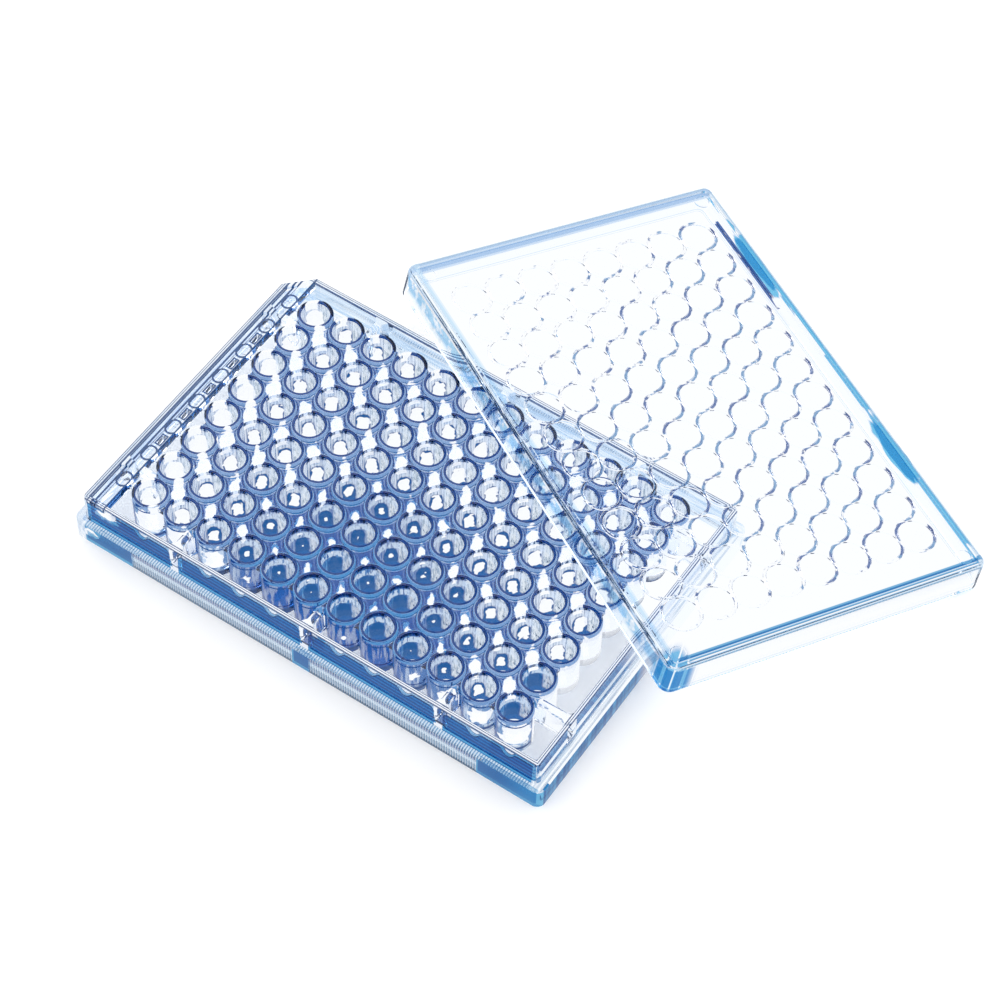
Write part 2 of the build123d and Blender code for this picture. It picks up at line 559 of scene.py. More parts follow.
def make_ribs(bridge, wells, skirt):
    """The ribs that cross the moat on all four sides."""
    wall_top = PLATE_HIGH.z - skirt.wall_drop
    x, y = grid_corner(wells)
    edge = wells.deck_edge
    moat_x, moat_y, _cut = moat_half(skirt)
    ribs = []
    for turn in (math.pi / 2, -math.pi / 2):
        for step in (-1, 0, 1):
            place = step * 4 * wells.spacing
            ribs.append(make_rib(bridge, edge - y, moat_y, turn, place, wall_top))
    for turn in (0.0, math.pi):
        for step in (-1, 1):
            place = step * 3 * wells.spacing
            ribs.append(make_rib(bridge, edge - x, moat_x, turn, place, wall_top))
    return ribs


def make_shelf(bridge, wells, skirt):
    """The shelf beside column 1, its raised bar with a tab for each row, and the stays."""
    wall_top = PLATE_HIGH.z - skirt.wall_drop
    moat_x, moat_y, cut = moat_half(skirt)
    edge = bridge.shelf - moat_x
    top = wall_top - bridge.shelf_drop
    foot = top - bridge.shelf_thickness
    bite = bridge.bite
    x, y = grid_corner(wells)
    shelf = add_box("shelf", (-moat_x - bite, -moat_y - bite, foot), (edge, moat_y + bite, top))
    outer_cut = cut + bite * CUT_GROWTH
    cut_a1_corner(shelf, moat_x + bite, moat_y + bite, outer_cut)
    bar = add_box(
        "bar", (edge - bridge.bar, -moat_y - bite, foot + 0.2 * MM), (edge, moat_y + bite, wall_top)
    )
    cut_a1_corner(bar, moat_x + bite, moat_y + bite, outer_cut)
    soften(bar, 0.2 * MM, 60.0)
    join_solid(shelf, bar)
    middle = edge - bridge.tab_inset
    half_length, half_width = bridge.tab_length / 2, bridge.tab_width / 2
    tabs = add_box(
        "tabs", (middle - half_width, y - half_length, foot + 0.1 * MM),
        (middle + half_width, y + half_length, wall_top + 0.02 * MM),
    )
    round_upright_edges(tabs, half_width - 0.02 * MM, 8)
    repeat(tabs, wells.rows, (0.0, wells.spacing, 0.0))
    join_solid(shelf, tabs)
    end = x - wells.tube_radius + bite
    stays = add_box(
        "stays", (middle, y - 0.4 * MM, foot + 0.3 * MM), (end, y + 0.4 * MM, wall_top - 0.1 * MM)
    )
    repeat(stays, wells.rows, (0.0, wells.spacing, 0.0))
    join_solid(shelf, stays)
    half_length, half_width = bridge.slot_length / 2, bridge.slot_width / 2
    slot_middle = edge - bridge.bar / 2
    start = -2 * wells.spacing
    slots = add_box(
        "slots", (slot_middle - half_width, start - half_length, foot - PAST),
        (slot_middle + half_width, start + half_length, wall_top + PAST),
    )
    round_upright_edges(slots, half_width - 0.05 * MM)
    repeat(slots, 5, (0.0, wells.spacing, 0.0))
    cut_solid(shelf, slots)
    return shelf


def make_letters(bridge, wells, skirt):
    """A thin raised letter on each tab, from A at the top row to the last row's."""
    wall_top = PLATE_HIGH.z - skirt.wall_drop
    moat_x, _moat_y, _cut = moat_half(skirt)
    middle = bridge.shelf - moat_x - bridge.tab_inset
    _x, y = grid_corner(wells)
    letters = []
    for row, character in enumerate(ROW_LETTERS[:wells.rows]):
        bpy.ops.object.text_add(location=(0.0, 0.0, 0.0))
        text = bpy.context.object
        text.data.body = character
        text.data.size = bridge.letter * 1.4
        text.data.extrude = bridge.letter_rise
        text.data.align_x = "CENTER"
        text.data.align_y = "CENTER"
        text.data.resolution_u = 4
        select_only(text)
        bpy.ops.object.convert(target="MESH")
        letter = named("letter")
        letter.matrix_world = Matrix.Translation((middle, -y - row * wells.spacing, wall_top))
        settle(letter)
        edit_all(letter)
        bpy.ops.mesh.remove_doubles(threshold=0.005 * MM)
        bpy.ops.mesh.normals_make_consistent(inside=False)
        done_editing()
        letters.append(letter)
    return letters


def weld(piece):
    """Merges the corners that all but coincide, and with them the slivers that the joins left."""
    edit_all(piece)
    bpy.ops.mesh.remove_doubles(threshold=0.001 * MM)
    done_editing()


def build_plate(scene):
    wells, skirt, bridge = scene.plate_wells, scene.plate_skirt, scene.plate_bridges
    deck_top = PLATE_HIGH.z - wells.rim_rise
    plate = make_skirt(skirt)
    join_solid(plate, make_tubes(wells))
    join_solid(plate, make_webs(wells, deck_top))
    for rib in make_ribs(bridge, wells, skirt):
        join_solid(plate, rib)
    join_solid(plate, make_shelf(bridge, wells, skirt))
    cut_solid(plate, make_cavities(wells))
    for letter in make_letters(bridge, wells, skirt):
        join_solid(plate, letter)
    weld(plate)
    smooth(plate)
    return plate


# The lid


def lid_half(lid, skirt):
    """Half the lid's length and width at its foot, and its height without the bead."""
    over = lid.fit_gap + lid.thickness
    return (
        PLATE_HIGH.x - skirt.ledge_x + over, PLATE_HIGH.y - skirt.ledge_y + over,
        PLATE_HIGH.z - skirt.flange_height - lid.foot_rise + lid.head_gap + lid.thickness,
    )


def make_tray(name, half_x, half_y, height, corner, draft, low=0.0):
    """A solid rounded block that narrows upwards."""
    tray = add_box(name, (-half_x, -half_y, low), (half_x, half_y, height))
    round_upright_edges(tray, corner)
    lean = (height - low) * math.tan(draft)
    scale_top(tray, 1 - lean / half_x, 1 - lean / half_y)
    return tray


def make_shell(lid, half_x, half_y, height):
    """The lid's top and its four walls, without the bead."""
    shell = make_tray("lid_shell", half_x, half_y, height, lid.corner, lid.draft)
    round_top_edges(shell, height, 0.4 * MM, segments=3)
    spread = PAST * math.tan(lid.draft)
    hollow = make_tray(
        "hollow", half_x - lid.thickness + spread, half_y - lid.thickness + spread,
        height - lid.thickness, lid.corner - lid.thickness, lid.draft, low=-PAST,
    )
    cut_solid(shell, hollow)
    return shell


def make_bead(lid, half_x, half_y, height):
    """The raised bead round the lid's top."""
    inset = height * math.tan(lid.draft) + lid.bead_inset
    out_x, out_y = half_x - inset, half_y - inset
    top = height + lid.bead_rise
    bead = add_box("bead", (-out_x, -out_y, height - 0.3 * MM), (out_x, out_y, top))
    round_upright_edges(bead, 2.0 * MM)
    round_top_edges(bead, top, 0.3 * MM, segments=3)
    in_x, in_y = out_x - lid.bead, out_y - lid.bead
    core = add_box("core", (-in_x, -in_y, height - 1.0 * MM), (in_x, in_y, height + 2.0 * MM))
    round_upright_edges(core, 1.2 * MM)
    cut_solid(bead, core)
    return bead


def make_rings(lid, wells, underside):
    """A low round bead under the lid over each well, in four sets that don't touch themselves."""
    x, y = grid_corner(wells)
    sets = []
    for column in (0, 1):
        for row in (0, 1):
            place = (x + column * wells.spacing, y + row * wells.spacing, underside)
            ring = add_ring("rings", lid.ring_radius, lid.ring_bead, place, 48)
            repeat(ring, wells.columns // 2, (2 * wells.spacing, 0.0, 0.0))
            repeat(ring, wells.rows // 2, (0.0, 2 * wells.spacing, 0.0))
            sets.append(ring)
    return sets


def make_corner_rings(half_x, half_y, height):
    """A small round ring on the top in each corner."""
    inset = 4.4 * MM
    rings = []
    for side_x in (-1, 1):
        for side_y in (-1, 1):
            place = (side_x * (half_x - inset), side_y * (half_y - inset), height)
            rings.append(add_ring("corner_ring", 1.9 * MM, 0.24 * MM, place, 32))
    return rings


def lean_matrix(lid, half_y):
    """Where the open lid leans: one long edge on the rims, the other on the table."""
    width = 2 * half_y
    tilt = math.asin((PLATE_HIGH.z + lid.rest_gap) / (width - lid.thickness))
    return (
        Matrix.Translation((PLATE_HIGH.x - lid.reach_x, PLATE_HIGH.y - lid.reach_y, 0.0))
        @ Matrix.Rotation(lid.turn, 4, "Z")
        @ Matrix.Translation((0.0, width * math.cos(tilt), 0.0))
        @ Matrix.Rotation(-tilt, 4, "X")
        @ Matrix.Translation((0.0, -half_y, 0.0))
    )


def build_lid(scene):
    wells, skirt, lid = scene.plate_wells, scene.plate_skirt, scene.plate_lid
    half_x, half_y, height = lid_half(lid, skirt)
    shell = make_shell(lid, half_x, half_y, height)
    join_solid(shell, make_bead(lid, half_x, half_y, height))
    for ring in make_corner_rings(half_x, half_y, height):
        join_solid(shell, ring)
    for ring in make_rings(lid, wells, height - lid.thickness):
        join_solid(shell, ring)
    weld(shell)
    shell.matrix_world = lean_matrix(lid, half_y)
    settle(shell)
    smooth(shell)
    return shell


# Materials


class Nodes:
    """Short ways to add nodes to a tree and to join them."""

    def __init__(self, tree):
        self.tree = tree

    def add(self, kind, **settings):
        node = self.tree.nodes.new(kind)
        for key, value in settings.items():
            setattr(node, key, value)
        return node

    def feed(self, socket, value):
        """Joins an output to a socket, or sets the socket's own value."""
        if isinstance(value, bpy.types.NodeSocket):
            self.tree.links.new(value, socket)
        elif isinstance(value, tuple) and len(value) == 3 and socket.type == "RGBA":
            socket.default_value = (*value, 1.0)
        elif value is not None:
            socket.default_value = value

    def math(self, operation, *values):
        node = self.add("ShaderNodeMath", operation=operation)
        for socket, value in zip(node.inputs, values):
            self.feed(socket, value)
        return node.outputs[0]

    def plus(self, *values):
        return self.math("ADD", *values)

    def minus(self, *values):
        return self.math("SUBTRACT", *values)

    def times(self, *values):
        return self.math("MULTIPLY", *values)

    def over(self, *values):
        return self.math("DIVIDE", *values)

    def power(self, *values):
        return self.math("POWER", *values)

    def size(self, value):
        return self.math("ABSOLUTE", value)

    def sine(self, value):
        return self.math("SINE", value)

    def vector(self, operation, *values):
        node = self.add("ShaderNodeVectorMath", operation=operation)
        for socket, value in zip(node.inputs, values):
            self.feed(socket, value)
        return node.outputs[0]

    def split(self, vector):
        node = self.add("ShaderNodeSeparateXYZ")
        self.feed(node.inputs[0], vector)
        return node.outputs[0], node.outputs[1], node.outputs[2]

    def join(self, x, y, z):
        node = self.add("ShaderNodeCombineXYZ")
        for socket, value in zip(node.inputs, (x, y, z)):
            self.feed(socket, value)
        return node.outputs[0]

    def mix(self, factor, colour_a, colour_b, blend="MIX"):
        node = self.add("ShaderNodeMix", data_type="RGBA", blend_type=blend)
        self.feed(node.inputs["Factor"], factor)
        self.feed(node.inputs[6], colour_a)
        self.feed(node.inputs[7], colour_b)
        return node.outputs[2]

    def noise(self, vector, scale, detail=2.0):
        node = self.add("ShaderNodeTexNoise")
        self.feed(node.inputs["Vector"], vector)
        node.inputs["Scale"].default_value = scale
        node.inputs["Detail"].default_value = detail
        return node.outputs["Fac"]

    def grain(self, place, fineness, detail=2.0):
        """Noise whose grain is finer along an axis the greater that axis's number is."""
        return self.noise(self.vector("MULTIPLY", place, fineness), 1.0, detail)

    def ramp(self, value, low, high):
        """From 0 at low to 1 at high, smoothly. Low may be the greater."""
        node = self.add("ShaderNodeMapRange", interpolation_type="SMOOTHSTEP")
        self.feed(node.inputs["Value"], value)
        node.inputs["From Min"].default_value = low
        node.inputs["From Max"].default_value = high
        return node.outputs["Result"]

    def band(self, value, low, high, soft=0.05):
        """1 between low and high, 0 outside."""
        node = self.add("ShaderNodeGroup", node_tree=band_group())
        for name, number in (("Low", low), ("High", high), ("Soft", soft)):
            node.inputs[name].default_value = number
        self.feed(node.inputs["Value"], value)
        return node.outputs["Mask"]

    def any_of(self, *masks):
        most = masks[0]
        for mask in masks[1:]:
            most = self.math("MAXIMUM", most, mask)
        return most

    def all_of(self, *masks):
        product = masks[0]
        for mask in masks[1:]:
            product = self.math("MULTIPLY", product, mask)
        return product


def new_group(name, inputs, outputs):
    """A node group with named sockets, and its two ends."""
    group = bpy.data.node_groups.new(name, "ShaderNodeTree")
    for socket, kind in inputs:
        group.interface.new_socket(socket, in_out="INPUT", socket_type=kind)
    for socket, kind in outputs:
        group.interface.new_socket(socket, in_out="OUTPUT", socket_type=kind)
    build = Nodes(group)
    return build, build.add("NodeGroupInput"), build.add("NodeGroupOutput")


def band_group():
    """A mask that is 1 between two values."""
    name = "Band"
    if name in bpy.data.node_groups:
        return bpy.data.node_groups[name]
    number = "NodeSocketFloat"
    build, start, end = new_group(
        name, [("Value", number), ("Low", number), ("High", number), ("Soft", number)],
        [("Mask", number)],
    )
    value, low, high, soft = (start.outputs[i] for i in range(4))
    rise = build.over(build.minus(value, low), soft)
    fall = build.over(build.minus(high, value), soft)
    mask = build.math("MINIMUM", rise, fall)
    clamp = build.add("ShaderNodeClamp")
    build.feed(clamp.inputs["Value"], build.plus(mask, 0.5))
    build.feed(end.inputs["Mask"], clamp.outputs[0])
    return build.tree


def grid_group():
    """Where a point lies in its well's own square: its distance and direction from the middle."""
    name = "Well grid"
    if name in bpy.data.node_groups:
        return bpy.data.node_groups[name]
    number = "NodeSocketFloat"
    build, start, end = new_group(
        name, [("Vector", "NodeSocketVector"), ("Spacing", number)],
        [("Distance", number), ("Turn", number), ("Along", number), ("Across", number)],
    )
    x, y, _z = build.split(start.outputs["Vector"])
    spacing = start.outputs["Spacing"]
    along, across = (
        build.times(build.minus(build.math("FRACT", share), 0.5), spacing)
        for share in (build.over(x, spacing), build.over(y, spacing))
    )
    square = build.plus(build.power(along, 2.0), build.power(across, 2.0))
    build.feed(end.inputs["Distance"], build.math("SQRT", square))
    build.feed(end.inputs["Turn"], build.math("ARCTAN2", across, along))
    build.feed(end.inputs["Along"], along)
    build.feed(end.inputs["Across"], across)
    return build.tree


def streak_group():
    """Fine painted streaks of refracted light that run up and down a round wall, from its direction
    and height.
    """
    name = "Streaks"
    if name in bpy.data.node_groups:
        return bpy.data.node_groups[name]
    number = "NodeSocketFloat"
    build, start, end = new_group(
        name, [("Turn", number), ("Vector", "NodeSocketVector"), ("Fineness", number)],
        [("Mask", number)],
    )
    x, y, z = build.split(start.outputs["Vector"])
    where = build.join(
        build.times(start.outputs["Turn"], start.outputs["Fineness"]),
        build.plus(build.times(x, 0.02), build.times(y, 0.03)),
        build.times(z, 0.08),
    )
    build.feed(end.inputs["Mask"], build.ramp(build.noise(where, 1.0, 3.0), 0.38, 0.62))
    return build.tree


def give(piece, material):
    """Gives a piece one material all over."""
    piece.data.materials.clear()
    piece.data.materials.append(material)
    for face in piece.data.polygons:
        face.material_index = 0


def clear_plastic(name, shade):
    """A clear plastic whose colour is still to be fed, and the builder of its tree.

    Lamps reach what is behind it, tinted by the shade. A trace of blue glow stands for the
    light that stays caught in the thick places.
    """
    material = bpy.data.materials.new(name)
    material.use_nodes = True
    build = Nodes(material.node_tree)
    shader = material.node_tree.nodes["Principled BSDF"]
    for socket, value in (
        ("Roughness", 0.02), ("IOR", 1.30), ("Transmission Weight", 1.0),
        ("Emission Color", (0.02, 0.24, 0.70, 1.0)), ("Emission Strength", 0.02),
    ):
        shader.inputs[socket].default_value = value
    through = build.add("ShaderNodeBsdfTransparent")
    through.inputs["Color"].default_value = (*shade, 1.0)
    mix = build.add("ShaderNodeMixShader")
    build.feed(mix.inputs["Fac"], build.add("ShaderNodeLightPath").outputs["Is Shadow Ray"])
    build.feed(mix.inputs[1], shader.outputs["BSDF"])
    build.feed(mix.inputs[2], through.outputs["BSDF"])
    output = material.node_tree.nodes["Material Output"]
    build.feed(output.inputs["Surface"], mix.outputs["Shader"])
    return material, shader, build


def in_millimetres(build, vector):
    scale = build.add("ShaderNodeVectorMath", operation="SCALE")
    build.feed(scale.inputs[0], vector)
    scale.inputs["Scale"].default_value = 1 / MM
    return scale.outputs[0]


def add_grid(build, place, wells):
    grid = build.add("ShaderNodeGroup", node_tree=grid_group())
    build.feed(grid.inputs["Vector"], place)
    grid.inputs["Spacing"].default_value = wells.spacing / MM
    return grid.outputs


def reach_of(build, along, across, radius_along, radius_across, power=2.0):
    """1 on an ellipse round a middle, less inside it and more outside. A high power squares it."""
    shares = (
        build.power(build.size(build.over(offset, radius)), power)
        for offset, radius in ((along, radius_along), (across, radius_across)))
    return build.power(build.plus(*shares), 1 / power)


def blue_depth(build, place, x, y):
    """How deep the painted blue of refracted light is: most round the middle of the near side."""
    reach = reach_of(
        build, build.minus(x, 4.0), build.minus(y, -34.0), 48.0, 50.0)
    cloud = build.grain(place, (0.09, 0.07, 0.02), 2.0)
    return build.ramp(build.plus(reach, build.times(cloud, 0.6)), 1.35, 0.6)


def ragged(build, place, reach, size, fineness):
    """A white spot with a ragged edge. It covers its whole ellipse where the size is 1."""
    noise = build.grain(place, (fineness,) * 3, 1.5)
    uneven = build.times(build.minus(noise, 0.5), 1.5)
    level = build.minus(build.plus(reach, uneven), size)
    return build.ramp(level, 0.05, -0.05)


def to_the_right(build, grid):
    """How far to the right of its well's middle a point is, as the camera looks at the plate."""
    return build.plus(
        build.times(grid["Along"], RIGHT_ALONG), build.times(grid["Across"], RIGHT_ACROSS))


def between_wells(build, place, wells):
    """How far a point is along and across the long way of the gap between four wells."""
    half = wells.spacing / MM / 2
    between = add_grid(build, build.vector("ADD", place, (half, half, 0.0)), wells)
    lengthwise = build.plus(
        build.times(between["Along"], -RIGHT_ACROSS), build.times(between["Across"], RIGHT_ALONG))
    crosswise = to_the_right(build, between)
    return lengthwise, crosswise, between["Distance"]


def well_inside(build, place, grid, x, z, depth):
    """The far inner half of each well, painted with refracted light and shade: fine upright
    streaks, light and dark flecks to the right, painted glints near the top, a dark arch and a
    darker foot, round a white spot.
    """
    sideways = to_the_right(build, grid)
    streak = build.add("ShaderNodeGroup", node_tree=streak_group())
    build.feed(streak.inputs["Turn"], grid["Turn"])
    build.feed(streak.inputs["Vector"], place)
    streak.inputs["Fineness"].default_value = 11.0
    dark = build.mix(depth, (0.03, 0.07, 0.20), (0.0006, 0.012, 0.13))
    light = build.mix(depth, (0.66, 0.75, 0.90), (0.012, 0.085, 0.31))
    streaked = build.mix(streak.outputs["Mask"], dark, light)
    right = build.times(build.ramp(sideways, 0.9, 1.5), build.ramp(depth, 1.9, 0.2))
    # Painted flecks of refracted light and shade on the right of the wall.
    painted_light_flecks = build.grain(place, (1.6, 1.6, 0.5), 3.0)
    painted_light_fleck_colour = build.mix(build.ramp(painted_light_flecks, 0.4, 0.55), (0.16, 0.24, 0.30), (0.72, 0.80, 0.82))
    streaked = build.mix(build.times(right, 0.7), streaked, painted_light_fleck_colour)
    # Painted glints near the top of the well.
    glints = build.all_of(
        build.band(z, 10.9, 12.9, 0.3), build.ramp(painted_light_flecks, 0.38, 0.5),
        build.plus(build.times(depth, 0.4), 0.35))
    streaked = build.mix(glints, streaked, (0.42, 0.58, 0.80))
    size = build.minus(1.2, build.times(depth, 1.2))
    size = build.plus(size, build.times(build.ramp(x, -43.0, -49.0), 0.5))
    reach = reach_of(
        build, build.plus(sideways, 0.6), build.minus(z, 7.7), 1.2, 2.3, 3.5)
    uneven = build.grain(place, (0.9, 0.9, 0.35), 2.0)
    level = build.minus(build.plus(reach, build.times(uneven, 0.8)), 0.4)
    # A dark painted arch of refraction shade round the spot.
    arch = build.ramp(level, 1.45, 1.25)
    streaked = build.mix(arch, streaked, (0.0005, 0.012, 0.10))
    # Painted shade darkens the well's foot.
    foot = build.ramp(z, 6.2, 5.4)
    streaked = build.mix(foot, streaked, (0.0005, 0.016, 0.14))
    spot = ragged(build, place, reach, size, 0.55)
    return build.mix(spot, streaked, WHITE)


def near_tube(build, place, grid, z, depth):
    """The outside of the tubes of the nearest row, painted with refracted light and shade: blue
    with painted gleams and darker sides, with a white window over a dark foot and a dark arc near
    the top.
    """
    sideways = to_the_right(build, grid)
    body = build.mix(depth, (0.05, 0.14, 0.36), (0.0006, 0.012, 0.15))
    shade = build.grain(place, (1.0, 1.0, 0.15), 2.0)
    gleam = build.all_of(build.ramp(shade, 0.46, 0.62), build.minus(1.0, build.times(depth, 0.8)))
    body = build.mix(gleam, body, (0.45, 0.62, 0.84))
    # Painted shade darkens the tube's sides.
    body = build.mix(build.ramp(build.size(sideways), 3.1, 3.9), body, (0.0008, 0.014, 0.13))
    size = build.minus(1.3, build.times(depth, 1.2))
    reach = reach_of(build, sideways, build.minus(z, 8.6), 2.6, 3.2, 3.0)
    body = build.mix(ragged(build, place, reach, size, 0.5), body, WHITE)
    # Dark painted arcs of refraction shade near the top and at the foot.
    arcs = build.any_of(build.band(z, 12.2, 12.7, 0.08), build.band(z, 3.3, 4.3, 0.15))
    return build.mix(arcs, body, (0.0006, 0.008, 0.08))


def wall_lines(build, x, y, ends, sides, steps):
    """Thin lines along the top of a wall, each at its own distance in from the outer edge."""
    inward = build.math(
        "MINIMUM", build.minus(ends, build.size(x)),
        build.minus(sides, build.size(y)))
    return build.any_of(*(build.band(inward, low, high, 0.06) for low, high in steps))


def shelf_lines(build, place, x, y, z, grid, wells, bridge, moat_x):
    """Painted dark outlines of refraction shade on the shelf: along its edges, round each tab and
    round each slot.
    """
    edge = bridge.shelf / MM - moat_x
    along = build.any_of(*(
        build.band(x, middle - 0.25, middle + 0.25, 0.08)
        for middle in (-moat_x + 0.1, -moat_x + 1.3, edge - bridge.bar / MM, edge - 0.12)))
    half = bridge.tab_width / MM / 2
    straight = (bridge.tab_length - bridge.tab_width) / MM / 2
    beyond = build.math("MAXIMUM", build.minus(build.size(grid["Across"]), straight), 0.0)
    reach = reach_of(build, build.minus(x, edge - bridge.tab_inset / MM), beyond, half, half)
    tabs = build.all_of(build.band(reach, 0.74, 1.06, 0.05), build.band(y, -36.0, 36.0))
    shift = build.vector("ADD", place, (0.0, wells.spacing / MM / 2, 0.0))
    from_slot = build.size(add_grid(build, shift, wells)["Across"])
    aside = build.size(build.minus(x, edge - bridge.bar / MM / 2))
    box = build.math(
        "MAXIMUM", build.minus(from_slot, bridge.slot_length / MM / 2),
        build.minus(aside, bridge.slot_width / MM / 2))
    slots = build.all_of(build.band(box, 0.0, 0.4, 0.05), build.band(y, -22.0, 22.0))
    return build.all_of(
        build.any_of(along, tabs, slots), build.band(x, -moat_x, edge + 0.1),
        build.band(z, 12.2, ABOVE))


def plate_plastic(colours, wells, skirt, bridge):
    """Clear plastic painted with refracted light and shade: dark at the mouths, deep blue between
    the tubes and along the near side.
    """
    material, shader, build = clear_plastic("clear_plate", SHEER)
    place = in_millimetres(build, build.add("ShaderNodeTexCoord").outputs["Object"])
    x, y, z = build.split(place)
    grid = add_grid(build, place, wells)
    distance = grid["Distance"]
    clear = tuple(colours.clear)
    moat_x, moat_y = (size / MM for size in moat_half(skirt)[:2])
    wall_x, wall_y = moat_x + skirt.wall / MM, moat_y + skirt.wall / MM

    block = build.all_of(build.band(x, -54.0, 54.0), build.band(y, -36.0, 36.0))
    depth = blue_depth(build, place, x, y)
    # Painted refraction shade: a dark ring at each mouth and a blue rim round it.
    ring = build.all_of(
        block, build.band(distance, 3.35, 4.06, 0.02), build.band(z, 14.0, ABOVE, 0.02))
    rim = build.all_of(
        block, build.band(distance, 4.07, 4.6, 0.02), build.band(z, 13.4, ABOVE, 0.02))
    # Only the half of each well's inside away from the camera gets painted light and shade.
    far_half = build.ramp(build.math("COSINE", build.minus(grid["Turn"], FAR_TURN)), -0.05, 0.1)
    inside = build.all_of(
        block, far_half, build.band(distance, 3.1, 3.5, 0.02), build.band(z, 4.0, 14.0, 0.02))
    deck = build.all_of(
        block, build.band(distance, 4.36, 9.0, 0.05), build.band(z, 12.0, 13.7, 0.05))
    outer = build.all_of(
        block, build.band(y, -40.0, -31.0, 0.4), build.band(distance, 4.2, 4.6, 0.05),
        build.band(z, 0.0, 13.4, 0.05))

    # Painted light on the deck: deep blue between the tubes, lighter patches and a pale halo round
    # each tube, and white spots.
    lengthwise, crosswise, from_gap = between_wells(build, place, wells)
    painted_light_patches = build.ramp(build.grain(place, (0.8, 0.8, 0.0), 1.5), 0.40, 0.62)
    touch = build.all_of(
        build.ramp(from_gap, 2.0, 3.3), build.plus(build.times(painted_light_patches, 0.6), 0.4),
        build.minus(1.0, build.times(depth, 0.45)))
    blue = build.any_of(depth, build.times(build.ramp(x, 22.0, 45.0), 0.45))
    deck_blue = build.mix(blue, (0.006, 0.055, 0.25), (0.004, 0.065, 0.30))
    deck_blue = build.mix(touch, deck_blue, (0.30, 0.44, 0.67))
    halo = build.all_of(
        build.band(distance, 4.85, 5.1, 0.08), build.minus(0.5, build.times(depth, 0.35)))
    deck_blue = build.mix(halo, deck_blue, (0.55, 0.68, 0.86))
    size = build.minus(1.08, build.times(depth, 0.55))
    size = build.plus(size, build.times(build.ramp(x, -38.0, -50.0), 0.25))
    reach = reach_of(build, build.plus(lengthwise, 1.1), crosswise, 2.9, 1.45)
    spots = ragged(build, place, reach, size, 0.45)
    colour = build.mix(deck, clear, deck_blue)
    # Deeper painted blue of refracted light inside the wells near the right end of the near side.
    corner = reach_of(build, build.minus(x, 49.5), build.minus(y, -27.0), 6.0, 10.0)
    inner_depth = build.any_of(depth, build.ramp(corner, 1.15, 0.95))
    colour = build.mix(inside, colour, well_inside(build, place, grid, x, z, inner_depth))
    colour = build.mix(outer, colour, near_tube(build, place, grid, z, depth))
    # The rim's painted shade follows the painted blue, in patches, with a dark painted line at its
    # outer edge.
    rim_colour = build.mix(depth, (0.075, 0.165, 0.41), (0.008, 0.085, 0.34))
    rim_colour = build.mix(build.times(painted_light_patches, 0.4), rim_colour, (0.02, 0.09, 0.32))
    lip_line = build.band(distance, 4.42, 4.72, 0.03)
    rim_colour = build.mix(lip_line, rim_colour, (0.0008, 0.012, 0.09))
    colour = build.mix(rim, colour, rim_colour)
    colour = build.mix(ring, colour, tuple(colours.ring))
    top = build.all_of(block, build.band(z, 12.0, ABOVE, 0.05), spots)
    colour = build.mix(top, colour, WHITE)

    # Painted refraction on the near wall: blue with fine painted lines, its top edge scalloped at
    # the well spacing with a dark painted outline, and left clear over the ribs.
    droop = build.ramp(build.size(grid["Along"]), 2.2, 4.2)
    height = build.plus(z, build.times(droop, 1.9))
    lines = build.plus(build.times(build.sine(build.times(z, 4.9)), 0.5), 0.5)
    wall_blue = build.mix(lines, (0.0, 0.035, 0.22), (0.010, 0.15, 0.45))
    wall_blue = build.mix(build.band(height, 12.45, 13.2, 0.1), wall_blue, (0.001, 0.01, 0.06))
    from_rib = build.math("PINGPONG", x, 2 * wells.spacing / MM)
    rib = build.band(from_rib, -9.0, 1.1, 0.1)
    near = build.all_of(
        build.band(y, -42.45, -39.2), build.band(z, 5.7, ABOVE, 0.1),
        build.band(height, BELOW, 12.9, 0.1), build.minus(1.0, rib))
    colour = build.mix(near, colour, wall_blue)
    low = build.band(z, BELOW, 5.75, 0.05)
    # Painted deep blue of refracted light on the foot at the right end, fading out under the lid.
    right_foot = build.all_of(build.band(x, 63.5, 80.0), low, build.ramp(y, 10.0, -4.0))
    foot_blue = build.mix(painted_light_patches, (0.0003, 0.012, 0.10), (0.004, 0.07, 0.26))
    colour = build.mix(right_foot, colour, foot_blue)
    # Painted blue of refracted light on the near foot, turning cyan towards the right corner.
    foot = build.all_of(build.band(y, -50.0, -41.3), low)
    cyan = build.all_of(build.ramp(x, 52.0, 62.0), build.ramp(y, -34.0, -40.0))
    colour = build.mix(foot, colour, build.mix(cyan, tuple(colours.skirt), (0.02, 0.20, 0.48)))
    # The grip strip is painted in bands of refracted light and shade, with painted highlights on
    # the ridges and dark painted dashes along its foot.
    ridge = build.ramp(build.sine(build.times(x, 2 * math.pi * MM / skirt.grip_pitch)), -0.3, 0.3)
    gripped = build.any_of(build.band(x, -47.2, -2.3), build.band(x, 2.3, 47.2))
    inner = build.all_of(build.band(y, -42.2, -41.3), low, gripped)
    colour = build.mix(inner, colour, clear)
    strip = build.mix(build.band(z, 2.8, 4.3, 0.2), (0.035, 0.11, 0.23), (0.34, 0.50, 0.66))
    strip = build.mix(build.band(z, 4.3, 9.0, 0.2), strip, (0.003, 0.035, 0.18))
    strip = build.mix(build.times(ridge, 0.22), strip, (0.82, 0.88, 0.96))
    dashes = build.all_of(build.band(z, BELOW, 0.9, 0.2), build.plus(build.times(ridge, 0.5), 0.4))
    strip = build.mix(dashes, strip, (0.003, 0.008, 0.03))
    colour = build.mix(build.all_of(build.band(y, -50.0, -42.2), low, gripped), colour, strip)
    # The ledge's top is painted light and shade, ticked by the ridges.
    lip = build.all_of(build.band(y, -50.0, -41.2, 0.05), build.band(z, 5.75, 6.4, 0.05))
    colour = build.mix(lip, colour, build.mix(ridge, (0.06, 0.17, 0.36), (0.44, 0.60, 0.78)))

